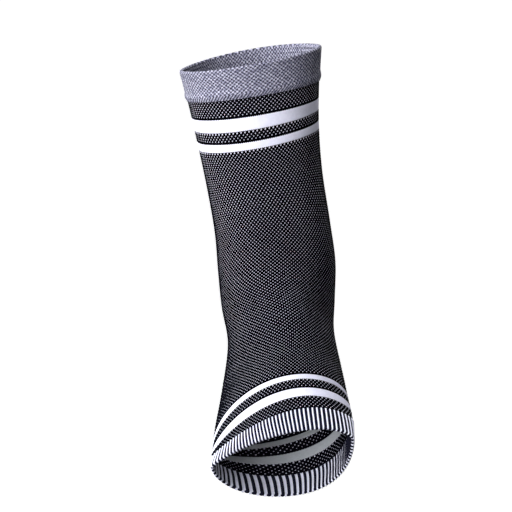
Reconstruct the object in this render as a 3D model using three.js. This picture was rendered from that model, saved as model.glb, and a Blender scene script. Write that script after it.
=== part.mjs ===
// Knitted ankle support sleeve in the shape it has when worn, with the toes pointing forward and down.
// Millimetres. +Z runs up the leg, the front faces -Y and the origin is the centre of the ankle.
import * as THREE from 'three';

// Sections of the outer face, from the top edge to the foot opening.
// station: how far down the sleeve it lies, about a millimetre a step along the leg.
// side, forward, up: the centre of the section.
// pitch, lean: degrees by which its front and its +X side are tipped up.
// halfWidth, front, back: its reach to each side, to the shin or instep, and to the calf, heel or sole.
// crown: 1 where the front is round, more where it is ridged. crest: sideways shift of that ridge.
// backCrown, backCrest: the same for the back.
// bunching: how much closer the stitches lie at the front than on average.
// skew: how much closer they lie at the front's -X side and at the back's +X side.
// line: sideways shift of the front line of stitches, which others are counted from.
const SECTION_COLUMNS = [
  'station', 'side', 'forward', 'up', 'pitch', 'lean', 'halfWidth', 'front', 'back',
  'crown', 'crest', 'backCrown', 'backCrest', 'bunching', 'skew', 'line',
];
const SECTION_ROWS = [
  [0, -1.1, -4, 126.9, -3.5, 3.7, 42.8, 40, 49, 1.0, 0, 1.35, 0, 0.28, 0, 0],
  [22, -1.5, -4, 106, -2.2, 2.5, 39.5, 42, 44, 1.0, 0, 1.15, 0, 0.28, 0, 0],
  [46, -1.5, -3, 82.6, -5.2, 3.9, 36.8, 39, 42, 1.0, 0, 1.0, 0, 0.28, 0, 0],
  [75, -0.8, -2, 54, 4.8, 3, 34.8, 37, 40, 1.0, 0, 1.0, 0, 0.29, 0, 0],
  [105, 0.6, 0, 24, 12, 0, 34.6, 38, 41, 1.0, 0, 1.0, 0, 0.31, 0, 0],
  [130, 0.5, 1, 0, 18, -2, 35.2, 40, 46, 1.0, 0, 1.0, 0, 0.29, 0, 0],
  [150, -1.0, 3, -20, 24, -2, 34.0, 44, 55, 1.1, 0, 1.0, 0, 0.24, 0, 0],
  [172, -1.8, 8, -41, 30, 1, 32.0, 48, 55.5, 1.2, 2, 1.0, 0, 0.20, 0.03, 2],
  [194, -4.3, 20, -65, 36, 5, 36.4, 51, 43, 1.32, 4.4, 1.15, 3.5, 0.27, 0.09, 4.4],
  [214, -7.5, 38, -83.9, 42, 13.4, 41.6, 50.6, 20.7, 1.1, -2.7, 1.6, 10.2, 0.31, 0.17, 5.2],
  [236, -8.2, 68, -90, 44, 9.2, 42.4, 27.2, 42.6, 1.75, 4.9, 1.35, 12, 0.27, 0.22, 4.9],
  [252, -9.0, 84, -95.6, 50, 5, 41.6, 17.2, 42.2, 1.4, 7, 1.08, 8.9, 0.27, 0.22, 7],
];

// Knit: stitches round the sleeve. The foot cuff's ribs are two stitches wide. They turn by some
// stitches on their way down, those in front by less and those behind by more.
const WALES = 160;
const RIB_DEPTH = 0.25;
const FACETS_PER_RIB = 4;
const CUFF_TWIST = 1.45;
const CUFF_SWAY = 0.95;

// Walls, and how far a cuff stands out past the knit beside it.
const KNIT_WALL = 1.4;
const TOP_CUFF_WALL = 2.0;
const FOOT_CUFF_WALL = 1.8;
const CUFF_PROUD = 0.3;

// Bands of knit from the top edge down, each from one station to another.
// rows: facets along the band. The black knit from shin to arch runs on without a change of yarn.
const BANDS = [
  { name: 'top_cuff', start: 0, end: 20.5, rows: 3, yarn: 'melange', wall: TOP_CUFF_WALL, proud: CUFF_PROUD },
  { name: 'collar_knit', start: 20.5, end: 31, rows: 2, yarn: 'ground' },
  { name: 'upper_stripe_wide', start: 31, end: 38, rows: 1, yarn: 'stripe' },
  { name: 'upper_divider_knit', start: 38, end: 44.8, rows: 1, yarn: 'ground' },
  { name: 'upper_stripe_narrow', start: 44.8, end: 49.9, rows: 1, yarn: 'stripe' },
  { name: 'shin_knit', start: 49.9, end: 104, rows: 4, yarn: 'ground' },
  { name: 'ankle_knit', start: 104, end: 150, rows: 4, yarn: 'ground' },
  { name: 'heel_knit', start: 150, end: 182, rows: 5, yarn: 'ground' },
  { name: 'arch_knit', start: 182, end: 217.4, rows: 4, yarn: 'ground' },
  { name: 'lower_stripe_narrow', start: 217.4, end: 220, rows: 1, yarn: 'stripe' },
  { name: 'lower_divider_knit', start: 220, end: 224.9, rows: 1, yarn: 'ground' },
  { name: 'lower_stripe_wide', start: 224.9, end: 229.4, rows: 1, yarn: 'stripe' },
  { name: 'instep_knit', start: 229.4, end: 237, rows: 1, yarn: 'ground' },
  {
    name: 'foot_cuff', start: 237, end: 252, rows: 2, yarn: 'rib',
    wall: FOOT_CUFF_WALL, proud: CUFF_PROUD, around: (WALES / 2) * FACETS_PER_RIB, rib: RIB_DEPTH,
    twist: CUFF_TWIST, sway: CUFF_SWAY,
  },
];
// Sizes of a band that states no others: facets round it, wall, standing out, rib depth and turn.
const PLAIN_BAND = { around: 48, wall: KNIT_WALL, proud: 0, rib: 0, twist: 0, sway: 0 };
// Stations left clear at each end of a band that meets another, for a gap of about 0.3 mm.
const HALF_GAP = 0.2;

const YARNS = {
  melange: { color: 0xa9a9b4, roughness: 0.92, metalness: 0 },
  ground: { color: 0x26262b, roughness: 0.9, metalness: 0 },
  stripe: { color: 0xf0f0f4, roughness: 0.85, metalness: 0 },
  rib: { color: 0x85858f, roughness: 0.9, metalness: 0 },
};

const TURN = 2 * Math.PI;
const FRONT_ANGLE = Math.PI / 2;
const OUTLINE_STEPS = 720;
const NORMAL_STEP = 0.01;

const SECTIONS = SECTION_ROWS.map(
  (row) => Object.fromEntries(SECTION_COLUMNS.map((column, i) => [column, row[i]])),
);

// Slope of a column at a row of the section table, from the rows on both sides of it.
function slopeAt(column, i) {
  const here = SECTIONS[i];
  const before = SECTIONS[Math.max(i - 1, 0)];
  const after = SECTIONS[Math.min(i + 1, SECTIONS.length - 1)];
  const down = here.station - before.station;
  const up = after.station - here.station;
  if (down === 0) return (after[column] - here[column]) / up;
  if (up === 0) return (here[column] - before[column]) / down;
  const slopeBefore = (here[column] - before[column]) / down;
  const slopeAfter = (after[column] - here[column]) / up;
  return (slopeBefore * up + slopeAfter * down) / (down + up);
}

// The section at any station: a smooth curve through each column of the table.
function sectionAt(station) {
  const last = SECTIONS.length - 1;
  const clamped = THREE.MathUtils.clamp(station, SECTIONS[0].station, SECTIONS[last].station);
  let i = 0;
  while (i < last - 1 && SECTIONS[i + 1].station < clamped) i += 1;
  const [from, to] = [SECTIONS[i], SECTIONS[i + 1]];
  const span = to.station - from.station;
  const t = (clamped - from.station) / span;
  const section = {};
  for (const column of SECTION_COLUMNS) {
    section[column] = (1 + 2 * t) * (1 - t) ** 2 * from[column]
      + t * (1 - t) ** 2 * span * slopeAt(column, i)
      + t ** 2 * (3 - 2 * t) * to[column]
      + t ** 2 * (t - 1) * span * slopeAt(column, i + 1);
  }
  return section;
}

// A point on a section's outline: angle 0 is the +X side and a quarter turn is the front.
function pointOn(section, angle) {
  const pitch = THREE.MathUtils.degToRad(section.pitch);
  const lean = THREE.MathUtils.degToRad(section.lean);
  const rise = Math.sin(angle);
  const fore = Math.max(rise, 0);
  const aft = Math.max(-rise, 0);
  const ahead = section.front * fore ** section.crown - section.back * aft ** section.backCrown;
  const shift = section.crest * fore ** 2 + section.backCrest * aft ** 2;
  const aside = section.halfWidth * Math.cos(angle) + shift;
  return new THREE.Vector3(
    section.side + aside * Math.cos(lean),
    -section.forward - ahead * Math.cos(pitch),
    section.up + aside * Math.sin(lean) + ahead * Math.sin(pitch),
  );
}

// Angles of stitches on a section, each given as a share of all that go round it from the front.
function stitchAngles(section, shares) {
  const front = FRONT_ANGLE + (section.crest - section.line) / section.halfWidth;
  const lengths = [0];
  let last = pointOn(section, front);
  for (let k = 1; k <= OUTLINE_STEPS; k += 1) {
    const next = pointOn(section, front + (TURN * k) / OUTLINE_STEPS);
    lengths.push(lengths[k - 1] + next.distanceTo(last));
    last = next;
  }
  const counted = lengths.map((length) => {
    const around = (TURN * length) / lengths[OUTLINE_STEPS];
    const closer = section.bunching * Math.sin(around) + section.skew * Math.sin(around) ** 2;
    return (around + closer) / TURN;
  });
  return shares.map((share) => {
    const wanted = share - Math.floor(share);
    let k = 0;
    while (counted[k + 1] < wanted) k += 1;
    const part = (wanted - counted[k]) / (counted[k + 1] - counted[k]);
    return front + (TURN * (k + part)) / OUTLINE_STEPS;
  });
}

// The way out of the sleeve at a station and angle.
function normalAt(station, angle) {
  const section = sectionAt(station);
  const around = pointOn(section, angle + NORMAL_STEP).sub(pointOn(section, angle - NORMAL_STEP));
  const along = pointOn(sectionAt(station + NORMAL_STEP), angle)
    .sub(pointOn(sectionAt(station - NORMAL_STEP), angle));
  return around.cross(along).normalize();
}

// A rib is two facet columns high and two low; the whole wall waves with it.
function ribHeight(column, rib) {
  return column % FACETS_PER_RIB < FACETS_PER_RIB / 2 ? rib : -rib;
}

// One row of a band: its outer and inner points, side by side round the sleeve.
// passed: the share of the band that lies above the row.
function bandRow(station, passed, { around, wall, proud, rib, twist, sway }) {
  const section = sectionAt(station);
  const shares = Array.from({ length: around }, (_, column) => {
    const share = column / around;
    return share + (passed * (twist - sway * Math.cos(TURN * share))) / WALES;
  });
  return stitchAngles(section, shares).map((angle, column) => {
    const normal = normalAt(station, angle);
    const outer = pointOn(section, angle).addScaledVector(normal, proud + ribHeight(column, rib));
    const inner = outer.clone().addScaledVector(normal, -wall);
    return { outer, inner };
  });
}

// A band as one closed wall: outer and inner faces joined by a narrow face at each edge.
function bandGeometry(band) {
  const { start, end, rows, around } = band;
  const first = start === SECTIONS[0].station ? start : start + HALF_GAP;
  const final = end === SECTIONS[SECTIONS.length - 1].station ? end : end - HALF_GAP;
  const positions = [];
  for (let row = 0; row <= rows; row += 1) {
    const passed = row / rows;
    const station = THREE.MathUtils.lerp(first, final, passed);
    for (const { outer, inner } of bandRow(station, passed, band)) {
      positions.push(...outer.toArray(), ...inner.toArray());
    }
  }
  const outerAt = (row, column) => 2 * (row * around + (column % around));
  const innerAt = (row, column) => outerAt(row, column) + 1;
  const triangles = [];
  const quad = (a, b, c, d) => triangles.push(a, b, c, a, c, d);
  for (let column = 0; column < around; column += 1) {
    const next = column + 1;
    for (let row = 0; row < rows; row += 1) {
      quad(outerAt(row, column), outerAt(row, next), outerAt(row + 1, next), outerAt(row + 1, column));
      quad(innerAt(row, next), innerAt(row, column), innerAt(row + 1, column), innerAt(row + 1, next));
    }
    quad(outerAt(0, next), outerAt(0, column), innerAt(0, column), innerAt(0, next));
    quad(outerAt(rows, column), outerAt(rows, next), innerAt(rows, next), innerAt(rows, column));
  }
  const geometry = new THREE.BufferGeometry();
  geometry.setAttribute('position', new THREE.Float32BufferAttribute(positions, 3));
  geometry.setIndex(triangles);
  geometry.computeVertexNormals();
  return geometry;
}

const sleeve = new THREE.Group();
for (const band of BANDS) {
  const material = new THREE.MeshStandardMaterial(YARNS[band.yarn]);
  const mesh = new THREE.Mesh(bandGeometry({ ...PLAIN_BAND, ...band }), material);
  mesh.name = band.name;
  sleeve.add(mesh);
}

export default sleeve;
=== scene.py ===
import math
from typing import NamedTuple

import bpy
import numpy as np
from mathutils import Matrix, Vector


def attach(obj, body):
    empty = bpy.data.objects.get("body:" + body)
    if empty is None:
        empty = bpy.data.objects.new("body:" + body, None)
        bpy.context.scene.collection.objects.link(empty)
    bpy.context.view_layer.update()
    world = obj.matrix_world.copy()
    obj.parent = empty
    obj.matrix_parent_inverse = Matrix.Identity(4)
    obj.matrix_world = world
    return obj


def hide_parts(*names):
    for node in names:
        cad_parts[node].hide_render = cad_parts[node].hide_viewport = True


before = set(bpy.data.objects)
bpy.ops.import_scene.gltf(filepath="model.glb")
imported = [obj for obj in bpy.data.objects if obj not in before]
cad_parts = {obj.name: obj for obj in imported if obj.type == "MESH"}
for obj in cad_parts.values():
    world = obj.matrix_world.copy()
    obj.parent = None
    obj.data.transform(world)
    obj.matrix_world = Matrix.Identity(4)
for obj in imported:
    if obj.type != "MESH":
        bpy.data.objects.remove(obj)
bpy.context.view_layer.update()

# Knitted ankle sleeve: every band is a closed wall of stitches that stands for its plain solid.
# Tables are in millimetres, as the part's own are, and MM takes them to Blender's metres.
MM = 0.001

# Sections of the outer face from the top edge to the foot opening, as the part has them.
# bunching: how much closer the stitches lie at the front than on average.
# skew: how much closer they lie at the front's -X side and at the back's +X side.
# line: sideways shift of the front line of stitches, which others are counted from.
SECTION_COLUMNS = (
    "station", "side", "forward", "up", "pitch", "lean", "half_width", "front", "back",
    "crown", "crest", "back_crown", "back_crest", "bunching", "skew", "line",
)
SECTION_ROWS = (
    (0, -1.1, -4, 126.9, -3.5, 3.7, 42.8, 40, 49, 1.0, 0, 1.35, 0, 0.28, 0, 0),
    (22, -1.5, -4, 106, -2.2, 2.5, 39.5, 42, 44, 1.0, 0, 1.15, 0, 0.28, 0, 0),
    (46, -1.5, -3, 82.6, -5.2, 3.9, 36.8, 39, 42, 1.0, 0, 1.0, 0, 0.28, 0, 0),
    (75, -0.8, -2, 54, 4.8, 3, 34.8, 37, 40, 1.0, 0, 1.0, 0, 0.29, 0, 0),
    (105, 0.6, 0, 24, 12, 0, 34.6, 38, 41, 1.0, 0, 1.0, 0, 0.31, 0, 0),
    (130, 0.5, 1, 0, 18, -2, 35.2, 40, 46, 1.0, 0, 1.0, 0, 0.29, 0, 0),
    (150, -1.0, 3, -20, 24, -2, 34.0, 44, 55, 1.1, 0, 1.0, 0, 0.24, 0, 0),
    (172, -1.8, 8, -41, 30, 1, 32.0, 48, 55.5, 1.2, 2, 1.0, 0, 0.20, 0.03, 2),
    (194, -4.3, 20, -65, 36, 5, 36.4, 51, 43, 1.32, 4.4, 1.15, 3.5, 0.27, 0.09, 4.4),
    (214, -7.5, 38, -83.9, 42, 13.4, 41.6, 50.6, 20.7, 1.1, -2.7, 1.6, 10.2, 0.31, 0.17, 5.2),
    (236, -8.2, 68, -90, 44, 9.2, 42.4, 27.2, 42.6, 1.75, 4.9, 1.35, 12, 0.27, 0.22, 4.9),
    (252, -9.0, 84, -95.6, 50, 5, 41.6, 17.2, 42.2, 1.4, 7, 1.08, 8.9, 0.27, 0.22, 7),
)
SECTIONS = {name: np.array(column, float) for name, column in zip(SECTION_COLUMNS, zip(*SECTION_ROWS))}

# Stitches: wales are the columns of them, which run down the sleeve, and courses the rows round it.
# Their relief, the share of it that runs across a wale, the share of a course by which the middle of
# a stitch hangs lower than its sides, and the rows of points to a course.
WALES = 160
STITCH_RELIEF = 0.3
ACROSS_SHARE = 0.8
CHEVRON = 0.3
ROWS_PER_COURSE = 2

# Walls, and how far a cuff stands out past the knit beside it.
KNIT_WALL = 1.4
TOP_CUFF_WALL = 2.0
FOOT_CUFF_WALL = 1.8
CUFF_PROUD = 0.3
# Steps round the rim of a free edge.
RIM_STEPS = 4
# Stations left clear at each end of a band that meets another.
HALF_GAP = 0.03

# Roll by the top cuff's lower edge: its depth, and its reach and its middle in courses.
CUFF_ROLL = 0.8
ROLL_COURSES = 4
ROLL_MIDDLE = 5
# The top cuff's double knit is this much finer on the inner face.
INNER_FINENESS = 2
# Foot cuff's ribs: their depth, the share of a pair that is white, and the wales by which the white
# reaches further on the inner face.
RIB_DEPTH = 0.25
WHITE_RIB_SHARE = 0.36
WHITE_REACH = 0.18
# Wales by which the ribs turn on their way down, and by which those in front turn less and those
# behind turn more.
CUFF_TWIST = 1.45
CUFF_SWAY = 0.95

# Black knit: how far a black stitch stands up and how deep a light one lies.
BLACK_RISE = 0.22
LIGHT_DIP = 0.2
# Light stitches: their size as shares of a wale and a course, the levels of their edge and their top,
# and how much they differ from each other.
DOT_SIDES = 6
DOT_WIDTH = 0.68
DOT_HEIGHT = 0.68
DOT_EDGE = -0.11
DOT_TOP = -0.03
DOT_SPREAD = 0.08
# How large they are on the way down the sleeve: small right under the top cuff, and smaller from the
# shin down to the foot, which leaves the knit darker there.
DOT_STATIONS = (21, 22.5, 75, 105, 150, 194, 252)
DOT_SCALES = (0.6, 1.03, 0.98, 0.9, 0.82, 0.72, 0.72)
DOT_SEED = 7
# The first light stitches under a white stripe are full ones that join it.
TOOTH_WIDTH = 0.95
TOOTH_HEIGHT = 1.05
TOOTH_LIFT = 0.12
TOOTH_TOP = 0.12


class Band(NamedTuple):
    """One band of knit, from one station to another.
    first: its first course, counted from the top edge. taper: share by which its top courses are
    taller than the mean one. across: points to a wale.
    twist, sway: wales by which it turns on its way down, and by which its back turns more."""
    name: str
    start: float
    end: float
    first: int
    courses: int
    yarn: str
    wall: float = KNIT_WALL
    proud: float = 0.0
    rib: float = 0.0
    roll: float = 0.0
    twist: float = 0.0
    sway: float = 0.0
    taper: float = 0.0
    across: int = 2


BANDS = (
    Band("top_cuff", 0, 20.5, 0, 33, "melange", TOP_CUFF_WALL, CUFF_PROUD, roll=CUFF_ROLL),
    Band("collar_knit", 20.5, 31, 33, 9, "ground"),
    Band("upper_stripe_wide", 31, 38, 42, 6, "stripe"),
    Band("upper_divider_knit", 38, 44.8, 48, 5, "ground"),
    Band("upper_stripe_narrow", 44.8, 49.9, 53, 4, "stripe"),
    Band("shin_knit", 49.9, 104, 57, 35, "ground", taper=0.05),
    Band("ankle_knit", 104, 150, 92, 34, "ground", taper=0.085),
    Band("heel_knit", 150, 182, 126, 28, "ground", taper=0.12),
    Band("arch_knit", 182, 217.4, 154, 34, "ground", taper=0.03),
    Band("lower_stripe_narrow", 217.4, 220, 188, 4, "stripe"),
    Band("lower_divider_knit", 220, 224.9, 192, 5, "ground"),
    Band("lower_stripe_wide", 224.9, 229.4, 197, 7, "stripe"),
    Band("instep_knit", 229.4, 237, 204, 7, "ground"),
    Band(
        "foot_cuff", 237, 252, 211, 15, "rib", FOOT_CUFF_WALL, CUFF_PROUD,
        rib=RIB_DEPTH, twist=CUFF_TWIST, sway=CUFF_SWAY, across=4,
    ),
)
# Bands too narrow to be a sheet of their own, and the sheet that each runs on from.
NARROW_BANDS = {
    "upper_stripe_wide": "collar_knit",
    "upper_divider_knit": "collar_knit",
    "upper_stripe_narrow": "shin_knit",
    "lower_stripe_narrow": "arch_knit",
    "lower_divider_knit": "arch_knit",
    "lower_stripe_wide": "foot_cuff",
    "instep_knit": "foot_cuff",
}

TURN = 2 * math.pi
FRONT_ANGLE = math.pi / 2
# Steps round a section that its stitches are counted over, and the step, in radians and in stations,
# that the ways out and down are found over.
OUTLINE_STEPS = 720
NORMAL_STEP = 0.01
# The mesh layer that holds the wale and the course of every point.
UV_NAME = "stitches"
# Courses on the inner face are numbered from here, below all others, so that a yarn can differ there:
# the stripes' white yarn is greyed there as painted shade.
INNER_COURSE = -1000

# Yarn colours, linear, each from its darker to its lighter shade.
BLACK_YARN = ((0.0006, 0.0006, 0.0016, 1), (0.0030, 0.0030, 0.0070, 1))
WHITE_YARN = ((0.735, 0.735, 0.89, 1), (0.835, 0.835, 0.98, 1))
RIB_WHITE = ((0.66, 0.67, 0.8, 1), (0.76, 0.77, 0.9, 1))
MELANGE_LIGHT = ((0.12, 0.12, 0.19, 1), (0.85, 0.85, 1.0, 1))
MELANGE_DARK = ((0.012, 0.012, 0.025, 1), (0.14, 0.14, 0.2, 1))
# The stripes' white yarn greyed for the inner face: painted shade of the sleeve's inside, not a yarn of
# its own.
STRIPE_PAINTED_INNER_SHADE = ((0.36, 0.38, 0.41, 1), (0.44, 0.46, 0.5, 1))
NAVY_YARN = ((0.004, 0.004, 0.012, 1), (0.014, 0.014, 0.036, 1))
# Slanted stitches at the top cuff's lower edge: their first course, and how they turn with wales
# and courses.
TICK_COURSE = 28.0
TICK_SLANT = (1.25, -0.55, 0.0)
# Fibres of the yarn, its twist, and the bump, roughness and sheen that they make.
FIBRE_SCALE = 1800
FIBRE_DETAIL = 3.0
TWIST_SCALE = 2.2
TWIST_DISTORTION = 1.0
TWIST_SLANT = math.radians(35)
BUMP_DISTANCE = 0.08 * MM
BUMP_STRENGTH = 0.5
ROUGHNESS_RANGE = (0.75, 0.98)
SHEEN_ROUGHNESS = 0.45
# Sockets of Blender's Mix node when it mixes colours.
MIX_FACTOR, MIX_A, MIX_B, MIX_RESULT = 0, 6, 7, 2


class Yarn(NamedTuple):
    """How a kind of knit looks, and the record's finish for it.
    shades: its yarn, dark to light. second: a yarn that alternates with it, by repeat along wales and
    courses. grain: shades to a wale and to a course. Its yarn on the inner face, where one is given, is
    a
    greyer copy of the outer yarn: painted shade of the sleeve's inside.
    ticked: its yarns alternate in slanted stitches from the tick course on."""
    slot: str
    gloss: float
    sheen: float
    shades: tuple
    second: tuple = None
    repeat: tuple = None
    grain: tuple = (1, 1, 0)
    inner: tuple = None
    ticked: bool = False


YARNS = {
    "melange": Yarn(
        "melange_knit", 0.1, 0.05, MELANGE_LIGHT, MELANGE_DARK,
        repeat=(1, 0.5, 0), grain=(2, 1, 0), ticked=True,
    ),
    "ground": Yarn("ground_knit", 0.01, 0.002, BLACK_YARN),
    # The stripe's grey yarn on the inner face is painted shade of the sleeve's inside.
    "stripe": Yarn("stripe_knit", 0.1, 0.05, WHITE_YARN, inner=STRIPE_PAINTED_INNER_SHADE),
    "rib": Yarn("rib_knit", 0.05, 0.02, NAVY_YARN, RIB_WHITE, repeat=(1, 0, 0)),
}

# View of the photograph, in metres and degrees, with the object's origin off the middle of the frame.
# The sensor is in millimetres, as Blender has it.
CAMERA_DISTANCE = 1.5
CAMERA_ELEVATION = 7
CAMERA_ROLL = 6.5
CAMERA_ASIDE = -0.012
CAMERA_RISE = 0.0072
FRAME_WIDTH = 0.3072
SENSOR_WIDTH = 36

# Studio: soft square lights, each with its place as seen from the front in degrees and metres,
# its width and its watts, a weak even light, and a white room that only the camera sees.
LIGHT_COLUMNS = ("name", "azimuth", "elevation", "distance", "size", "power")
LIGHT_ROWS = (
    ("key_light", -26, 17, 1.5, 0.8, 20),
    ("front_light", 25, 0, 1.5, 0.8, 4),
    ("low_light", -45, -12, 1.5, 0.8, 12),
    ("left_light", -100, 25, 1.5, 0.8, 30),
    ("high_light", -60, 82, 1.5, 0.8, 28),
    ("right_light", 65, 20, 1.5, 0.8, 1.5),
    ("back_light", 155, 10, 1.5, 0.8, 12),
)
AMBIENT = 0.03
ROOM_RADIUS = 12
FLOOR_LEVEL = -0.9
ROOM_WHITE = (1, 1, 1, 1)
ROOM_GLOW = 1.0


def sections_at(stations):
    """Every column of the section table at the stations given: a smooth curve through its rows."""
    rows = SECTIONS["station"]
    clamped = np.clip(stations, rows[0], rows[-1])
    i = np.clip(np.searchsorted(rows, clamped) - 1, 0, len(rows) - 2)
    span = rows[i + 1] - rows[i]
    t = (clamped - rows[i]) / span
    found = {}
    for name, column in SECTIONS.items():
        slope = np.gradient(column, rows)
        value = (1 + 2 * t) * (1 - t) ** 2 * column[i] + t * (1 - t) ** 2 * span * slope[i]
        value += t ** 2 * (3 - 2 * t) * column[i + 1] + t ** 2 * (t - 1) * span * slope[i + 1]
        found[name] = value[:, None]
    return found


def outline(sections, angles):
    """Points on the sections: angle 0 is the +X side and a quarter turn is the front."""
    pitch = np.radians(sections["pitch"])
    lean = np.radians(sections["lean"])
    rise = np.sin(angles)
    fore = np.maximum(rise, 0)
    aft = np.maximum(-rise, 0)
    ahead = sections["front"] * fore ** sections["crown"]
    ahead = ahead - sections["back"] * aft ** sections["back_crown"]
    shift = sections["crest"] * fore ** 2 + sections["back_crest"] * aft ** 2
    aside = sections["half_width"] * np.cos(angles) + shift
    x = sections["side"] + aside * np.cos(lean)
    y = -sections["forward"] - ahead * np.cos(pitch)
    z = sections["up"] + aside * np.sin(lean) + ahead * np.sin(pitch)
    return np.stack(np.broadcast_arrays(x, y, z), axis=-1)


def stitch_angles(sections, wales):
    """Angles of the wales on each section, counted from the front line of stitches."""
    first = FRONT_ANGLE + (sections["crest"] - sections["line"]) / sections["half_width"]
    turn = first + np.linspace(0, TURN, OUTLINE_STEPS + 1)
    points = outline(sections, turn)
    steps = np.linalg.norm(np.diff(points, axis=1), axis=2)
    passed = np.pad(np.cumsum(steps, axis=1), ((0, 0), (1, 0)))
    around = TURN * passed / passed[:, -1:]
    counted = around + sections["bunching"] * np.sin(around) + sections["skew"] * np.sin(around) ** 2
    wanted = np.broadcast_to(TURN * wales / WALES % TURN, (len(passed), np.shape(wales)[-1]))
    return np.array([np.interp(row, have, angles) for row, have, angles in zip(wanted, counted, turn)])


def unit(vectors):
    """The same directions at length 1."""
    return vectors / np.linalg.norm(vectors, axis=-1, keepdims=True)


def skin(stations, wales):
    """The sleeve's outer face: points and the ways out of it and down it, a row for each station."""
    sections = sections_at(stations)
    angles = stitch_angles(sections, wales)
    around = outline(sections, angles + NORMAL_STEP) - outline(sections, angles - NORMAL_STEP)
    lower = outline(sections_at(stations + NORMAL_STEP), angles)
    upper = outline(sections_at(stations - NORMAL_STEP), angles)
    return outline(sections, angles), unit(np.cross(around, lower - upper)), unit(lower - upper)


def hump(position):
    """0 at the edges of a stitch and 1 at its middle."""
    return 1 - np.abs(2 * (position % 1) - 1)


def has_rim(band):
    """Whether the band's top and lower edges are free ones."""
    return band.start == SECTIONS["station"][0], band.end == SECTIONS["station"][-1]


def course_lines(band, rows):
    """Stations of rows of points down the band, short of its neighbours or of its own round rim."""
    top_rim, low_rim = has_rim(band)
    first = band.start + (band.wall / 2 if top_rim else HALF_GAP)
    final = band.end - (band.wall / 2 if low_rim else HALF_GAP)
    heights = np.linspace(1 + band.taper, 1 - band.taper, band.courses)
    passed = np.concatenate([[0], np.cumsum(heights)]) / heights.sum()
    share = np.interp(np.linspace(0, band.courses, rows), np.arange(band.courses + 1), passed)
    return first + (final - first) * share


def rib_wales(wales):
    """Places of the points of ribs, whose white and dark halves differ in width."""
    return 2 * (wales // 2) + np.interp(wales % 2, (0, 1, 2), (0, 2 * WHITE_RIB_SHARE, 2))


def stitch_relief(band, u, v):
    """How far the points of the band's stitches stand out past the wall's mean face.
    In black knit the light ones lie deeper."""
    if band.yarn != "ground":
        return STITCH_RELIEF * (ACROSS_SHARE * hump(u) + (1 - ACROSS_SHARE) * hump(v) - 0.5)
    light = (np.floor(u) + np.floor(v) + band.first) % 2 == 0
    return np.where(light, -LIGHT_DIP, BLACK_RISE) * hump(u) * hump(v)


def rim_rows(middle, out, edge, radius, angles):
    """Rows of points round a free edge."""
    cosines = np.cos(angles)[:, None, None]
    sines = np.sin(angles)[:, None, None]
    return middle + radius[:, None] * (cosines * out + sines * edge)


def stitch_grid(band, lines):
    """Points of the band's stitches and the ways out and down there, a row for each line."""
    course = (lines[-1] - lines[0]) / band.courses
    grids = [np.empty((len(lines), WALES * band.across, 3)) for _ in range(3)]
    passed = np.linspace(0, 1, len(lines))[:, None]
    for k in range(band.across):
        shift = CHEVRON * course * hump(k / band.across)
        wales = np.arange(WALES) + k / band.across
        if band.rib:
            wales = rib_wales(wales)
        turned = band.twist - band.sway * np.cos(TURN * wales / WALES)
        for grid, part in zip(grids, skin(lines + shift, wales + turned * passed)):
            grid[:, k::band.across] = part
    return grids


def knit_wall(band):
    """Rows of points that run round the sleeve and, row after row, round the band's wall, with their
    stitches and the first row of the inner face."""
    lines = course_lines(band, band.courses * ROWS_PER_COURSE + 1)
    course = (lines[-1] - lines[0]) / band.courses
    points, out, down = stitch_grid(band, lines)
    u = np.arange(WALES * band.across + 1) / band.across
    v = np.arange(len(lines)) / ROWS_PER_COURSE
    relief = stitch_relief(band, u[None, :-1], v[:, None])
    from_roll = (v[:, None] + ROLL_MIDDLE - band.courses) / ROLL_COURSES
    wave = band.rib * np.sin(math.pi * u[None, :-1]) + band.roll * np.exp(-from_roll ** 2)
    middle = points + out * (band.proud - band.wall / 2 + wave)[:, :, None]
    half = (band.wall / 2 + relief)[:, :, None]
    sweep = np.linspace(0, math.pi, RIM_STEPS + 1)[1:-1]
    rim_stitches = band.wall / 2 / course * np.sin(sweep)
    top_rim, low_rim = has_rim(band)
    loop = [middle + out * half]
    stitch_rows = [band.first + v]
    if low_rim:
        loop.append(rim_rows(middle[-1], out[-1], down[-1], half[-1, :, 0], sweep))
        stitch_rows.append(band.first + v[-1] + rim_stitches)
    inner_from = sum(len(rows) for rows in loop)
    loop.append((middle - out * half)[::-1])
    stitch_rows.append(band.first + v[::-1])
    if top_rim:
        loop.append(rim_rows(middle[0], out[0], -down[0], half[0, :, 0], sweep[::-1]))
        stitch_rows.append(band.first + v[0] - rim_stitches)
    return np.concatenate(loop), u, np.concatenate(stitch_rows), inner_from


def flat_size(band):
    """Mean girth and height of a band, which is how large it lies when cut open."""
    points = skin(course_lines(band, band.courses + 1), np.arange(WALES))[0]
    girth = np.linalg.norm(points - np.roll(points, 1, axis=1), axis=2).sum(axis=1).mean()
    height = np.linalg.norm(np.diff(points, axis=0), axis=2).sum(axis=0).mean()
    return MM * girth, MM * height


def make_piece(name, points, faces, stitches, material):
    """A smooth mesh object from its points, its faces and the stitch under each face's corner."""
    mesh = bpy.data.meshes.new(name)
    count, corners = faces.shape
    mesh.vertices.add(len(points))
    mesh.vertices.foreach_set("co", (MM * points).astype(np.float32).ravel())
    mesh.loops.add(count * corners)
    mesh.loops.foreach_set("vertex_index", faces.astype(np.int32).ravel())
    mesh.polygons.add(count)
    mesh.polygons.foreach_set("loop_start", np.arange(0, count * corners, corners, dtype=np.int32))
    layer = mesh.uv_layers.new(name=UV_NAME)
    layer.uv.foreach_set("vector", stitches.astype(np.float32).ravel())
    mesh.update(calc_edges=True)
    mesh.validate()
    mesh.shade_smooth()
    mesh.materials.append(material)
    piece = bpy.data.objects.new(name, mesh)
    bpy.context.scene.collection.objects.link(piece)
    return piece


def inner_ribs(wales):
    """Stitches under the points of ribs on the inner face, where the white reaches further."""
    return 2 * (wales // 2) + np.interp(wales % 2, (0, 1 + WHITE_REACH, 2), (0, 1, 2))


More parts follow.
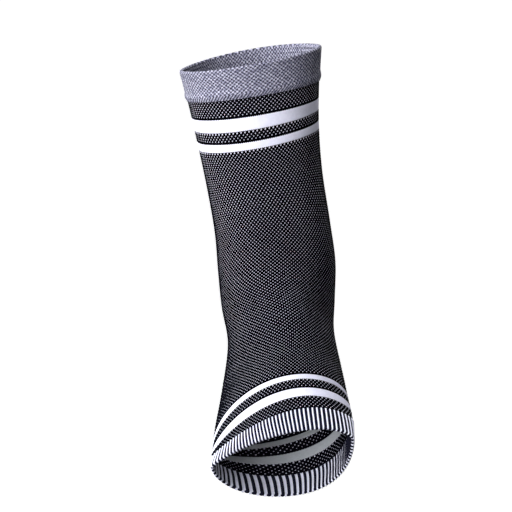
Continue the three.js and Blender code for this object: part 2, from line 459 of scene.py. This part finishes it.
def make_wall(band, material):
    """The band's closed wall of stitches."""
    loop, u, v, inner_from = knit_wall(band)
    rows, columns = loop.shape[:2]
    row, column = np.meshgrid(np.arange(rows), np.arange(columns), indexing="ij")
    below = (row + 1) % rows
    beside = (column + 1) % columns
    corners = ((row, column), (row, beside), (below, beside), (below, column))
    faces = np.stack([r * columns + c for r, c in corners], axis=-1).reshape(-1, 4)
    across = np.stack((u[column], u[column + 1], u[column + 1], u[column]), axis=-1)
    along = np.stack((v[row], v[row], v[below], v[below]), axis=-1)
    inside = (row >= inner_from) & (row < inner_from + band.courses * ROWS_PER_COURSE)
    along[inside] += INNER_COURSE
    if band.rib:
        across[inside] = inner_ribs(across[inside])
    elif band.yarn == "melange":
        across[inside] *= INNER_FINENESS
    stitches = np.stack([across, along], axis=-1).reshape(-1, 2)
    return make_piece(f"{band.name}_wall", loop.reshape(-1, 3), faces, stitches, material)


def dot_rings(band, course, wales, toothed, rng):
    """Points of the light stitches of one course, outside and inside: a ring each and its top."""
    lines = course_lines(band, band.courses + 1)
    height = lines[course + 1] - lines[course]
    width, tall, top, lift = (DOT_WIDTH, DOT_HEIGHT, DOT_TOP, 0)
    if toothed:
        width, tall, top, lift = (TOOTH_WIDTH, TOOTH_HEIGHT, TOOTH_TOP, TOOTH_LIFT)
    middle = lines[course] + (0.5 + CHEVRON - lift) * height
    scale = np.interp(middle, DOT_STATIONS, DOT_SCALES)
    tall *= scale
    size = scale * (1 + DOT_SPREAD * rng.uniform(-1, 1, len(wales)))
    sweep = TURN * np.arange(DOT_SIDES) / DOT_SIDES
    sides = []
    for outside in (True, False):
        level = band.proud if outside else band.proud - band.wall
        way = 1 if outside else -1
        ring = []
        for angle in sweep[::way]:
            station = np.array([middle + 0.5 * tall * height * math.sin(angle)])
            points, out, _ = skin(station, wales + 0.5 + 0.5 * width * size * math.cos(angle))
            ring.append(points[0] + out[0] * (level + way * DOT_EDGE))
        points, out, _ = skin(np.array([middle]), wales + 0.5)
        ring.append(points[0] + out[0] * (level + way * top))
        sides.append(np.stack(ring, axis=1))
    return np.concatenate(sides)


def make_dots(band, material, toothed, plain_end):
    """The light stitches of a black band: every other one, set off by one from course to course.
    toothed: the first course joins a stripe. plain_end: the last course has none."""
    rng = np.random.default_rng(DOT_SEED + band.first)
    rings = []
    stitches = []
    for course in range(band.courses - int(plain_end)):
        number = band.first + course
        wales = np.arange(number % 2, WALES, 2, dtype=float)
        rings.append(dot_rings(band, course, wales, toothed and course == 0, rng))
        middles = np.stack([wales + 0.5, np.full(len(wales), number + 0.5)], axis=-1)
        stitches += [middles, middles]
    points = np.concatenate(rings)
    ring = np.arange(DOT_SIDES)
    slopes = np.stack([ring, (ring + 1) % DOT_SIDES, np.full(DOT_SIDES, DOT_SIDES)], axis=-1)
    under = np.stack([np.zeros(DOT_SIDES - 2, int), ring[2:], ring[1:-1]], axis=-1)
    pattern = np.concatenate([slopes, under])
    starts = np.arange(len(points)) * (DOT_SIDES + 1)
    faces = (starts[:, None, None] + pattern[None]).reshape(-1, 3)
    corners = np.repeat(np.concatenate(stitches), pattern.size, axis=0)
    return make_piece(f"{band.name}_dots", points.reshape(-1, 3), faces, corners, material)


def add_node(tree, kind, inputs, **settings):
    """A shader node with its settings, and its inputs set or linked."""
    node = tree.nodes.new(kind)
    for name, value in settings.items():
        setattr(node, name, value)
    for name, value in inputs.items():
        if isinstance(value, bpy.types.NodeSocket):
            tree.links.new(value, node.inputs[name])
        else:
            node.inputs[name].default_value = value
    return node


def mix_colours(tree, factor, first, second):
    """From the first colour to the second as the factor goes from 0 to 1."""
    inputs = {MIX_FACTOR: factor, MIX_A: first, MIX_B: second}
    return add_node(tree, "ShaderNodeMix", inputs, data_type="RGBA").outputs[MIX_RESULT]


def from_course(tree, stitch, first):
    """1 from a course on and 0 before it."""
    course = add_node(tree, "ShaderNodeSeparateXYZ", {"Vector": stitch}).outputs["Y"]
    passed = add_node(tree, "ShaderNodeMath", {0: course, 1: first}, operation="GREATER_THAN")
    return passed.outputs["Value"]


def slanted_edge(tree, stitch, turn):
    """The change between two yarns, slanted from the tick course on."""
    across = add_node(tree, "ShaderNodeVectorMath", {0: stitch, 1: TICK_SLANT}, operation="DOT_PRODUCT")
    slanted = add_node(tree, "ShaderNodeTexChecker", {"Vector": across.outputs["Value"], "Scale": 1.0})
    inputs = {"Factor": from_course(tree, stitch, TICK_COURSE), "A": turn, "B": slanted.outputs["Fac"]}
    return add_node(tree, "ShaderNodeMix", inputs, data_type="FLOAT").outputs["Result"]


def yarn_colour(tree, yarn, stitch, fibre):
    """The yarn's colour, whose shade changes from stitch to stitch and along its fibres."""
    cells = add_node(tree, "ShaderNodeVectorMath", {0: stitch, 1: yarn.grain}, operation="MULTIPLY")
    whole = add_node(tree, "ShaderNodeVectorMath", {0: cells.outputs["Vector"]}, operation="FLOOR")
    dye = add_node(
        tree, "ShaderNodeTexWhiteNoise", {"Vector": whole.outputs["Vector"]}, noise_dimensions="2D",
    ).outputs["Value"]
    shade = add_node(tree, "ShaderNodeMath", {0: dye, 1: fibre}, operation="MULTIPLY").outputs["Value"]
    colour = mix_colours(tree, shade, *yarn.shades)
    if yarn.second:
        grid = add_node(tree, "ShaderNodeMapping", {"Vector": stitch, "Scale": yarn.repeat})
        turn = add_node(
            tree, "ShaderNodeTexChecker", {"Vector": grid.outputs["Vector"], "Scale": 1.0},
        ).outputs["Fac"]
        if yarn.ticked:
            turn = slanted_edge(tree, stitch, turn)
        colour = mix_colours(tree, turn, mix_colours(tree, shade, *yarn.second), colour)
    # On the inner face the stripe's white yarn gives way to its greyer copy: painted shade of the
    # sleeve's inside.
    if yarn.inner:
        outside = from_course(tree, stitch, 0)
        colour = mix_colours(tree, outside, mix_colours(tree, shade, *yarn.inner), colour)
    return colour


def yarn_bump(tree, stitch, fibre):
    """The fine relief of the yarn's twist and its fibres."""
    slant = add_node(tree, "ShaderNodeMapping", {"Vector": stitch, "Rotation": (0, 0, TWIST_SLANT)})
    twist = add_node(
        tree, "ShaderNodeTexWave",
        {"Vector": slant.outputs["Vector"], "Scale": TWIST_SCALE, "Distortion": TWIST_DISTORTION},
    )
    height = add_node(tree, "ShaderNodeMath", {0: twist.outputs["Fac"], 1: fibre}, operation="ADD")
    bump = add_node(
        tree, "ShaderNodeBump",
        {"Height": height.outputs["Value"], "Strength": BUMP_STRENGTH, "Distance": BUMP_DISTANCE},
    )
    return bump.outputs["Normal"]


def knit_material(yarn):
    """The material of a kind of knit."""
    material = bpy.data.materials.new(f"{yarn.slot}_look")
    material.use_nodes = True
    tree = material.node_tree
    shader = tree.nodes["Principled BSDF"]
    stitch = add_node(tree, "ShaderNodeUVMap", {}, uv_map=UV_NAME).outputs["UV"]
    place = add_node(tree, "ShaderNodeTexCoord", {}).outputs["Object"]
    fibre = add_node(
        tree, "ShaderNodeTexNoise", {"Vector": place, "Scale": FIBRE_SCALE, "Detail": FIBRE_DETAIL},
    ).outputs["Fac"]
    least, most = ROUGHNESS_RANGE
    rough = add_node(tree, "ShaderNodeMapRange", {"Value": fibre, "To Min": least, "To Max": most})
    tree.links.new(yarn_colour(tree, yarn, stitch, fibre), shader.inputs["Base Color"])
    tree.links.new(rough.outputs["Result"], shader.inputs["Roughness"])
    tree.links.new(yarn_bump(tree, stitch, fibre), shader.inputs["Normal"])
    shader.inputs["Specular IOR Level"].default_value = yarn.gloss
    shader.inputs["Sheen Weight"].default_value = yarn.sheen
    shader.inputs["Sheen Roughness"].default_value = SHEEN_ROUGHNESS
    return material


def make_sleeve():
    """Every band with its light stitches, each riding on the body and standing for its solid."""
    materials = {name: knit_material(yarn) for name, yarn in YARNS.items()}
    belongings = {band.name: [] for band in BANDS}
    for before, band, after in zip((None,) + BANDS, BANDS, BANDS[1:] + (None,)):
        wall = make_wall(band, materials[band.yarn])
        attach(wall, "root")
        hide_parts(band.name)
        sheet = NARROW_BANDS.get(band.name, band.name)
        if sheet != band.name:
            belongings[sheet].append(wall)
        if band.yarn == "ground":
            toothed = before.yarn == "stripe"
            plain_end = after.yarn != "ground"
            dots = make_dots(band, materials["stripe"], toothed, plain_end)
            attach(dots, "root")
            belongings[sheet].append(dots)
    for band in BANDS:
        if band.name not in NARROW_BANDS:
            flat_size(band)


def make_camera():
    """The photograph's view: from the front and a little above, with the camera rolled."""
    elevation = math.radians(CAMERA_ELEVATION)
    roll = math.radians(CAMERA_ROLL)
    back = Vector((0, -math.cos(elevation), math.sin(elevation)))
    level = Vector((1, 0, 0))
    upright = back.cross(level)
    right = level * math.cos(roll) - upright * math.sin(roll)
    up = level * math.sin(roll) + upright * math.cos(roll)
    eye = back * CAMERA_DISTANCE + right * CAMERA_ASIDE + up * CAMERA_RISE
    camera = bpy.data.objects.new("camera", bpy.data.cameras.new("camera"))
    camera.data.sensor_width = SENSOR_WIDTH
    camera.data.lens = SENSOR_WIDTH * CAMERA_DISTANCE / FRAME_WIDTH
    camera.matrix_world = Matrix((right, up, back)).transposed().to_4x4()
    camera.matrix_world.translation = eye
    bpy.context.scene.collection.objects.link(camera)
    bpy.context.scene.camera = camera


def make_lights():
    """The studio's lights, all turned to the object, and the weak even light."""
    for row in LIGHT_ROWS:
        light = dict(zip(LIGHT_COLUMNS, row))
        azimuth = math.radians(light["azimuth"])
        elevation = math.radians(light["elevation"])
        level = math.cos(elevation)
        way = Vector((math.sin(azimuth) * level, -math.cos(azimuth) * level, math.sin(elevation)))
        lamp = bpy.data.objects.new(light["name"], bpy.data.lights.new(light["name"], "AREA"))
        lamp.data.size = light["size"]
        lamp.data.energy = light["power"]
        lamp.location = way * light["distance"]
        lamp.rotation_euler = way.to_track_quat("Z", "Y").to_euler()
        bpy.context.scene.collection.objects.link(lamp)
    world = bpy.data.worlds.new("studio")
    world.use_nodes = True
    world.node_tree.nodes["Background"].inputs["Color"].default_value = ROOM_WHITE
    world.node_tree.nodes["Background"].inputs["Strength"].default_value = AMBIENT
    bpy.context.scene.world = world


def make_room():
    """A plain white floor and the white room round it. They light nothing."""
    material = bpy.data.materials.new("studio_white")
    material.use_nodes = True
    shader = material.node_tree.nodes["Principled BSDF"]
    shader.inputs["Emission Color"].default_value = ROOM_WHITE
    shader.inputs["Emission Strength"].default_value = ROOM_GLOW
    level = (0, 0, FLOOR_LEVEL)
    bpy.ops.mesh.primitive_circle_add(radius=ROOM_RADIUS, fill_type="NGON", location=level)
    floor = bpy.context.object
    floor.name = "studio_floor"
    bpy.ops.mesh.primitive_uv_sphere_add(radius=ROOM_RADIUS)
    room = bpy.context.object
    room.name = "studio_room"
    for piece in (floor, room):
        piece.data.materials.append(material)
        piece.visible_diffuse = False
        piece.visible_glossy = False
        piece.visible_transmission = False
        piece.visible_shadow = False


make_camera()
make_sleeve()
make_lights()
make_room()
bpy.context.scene.view_settings.view_transform = "Standard"
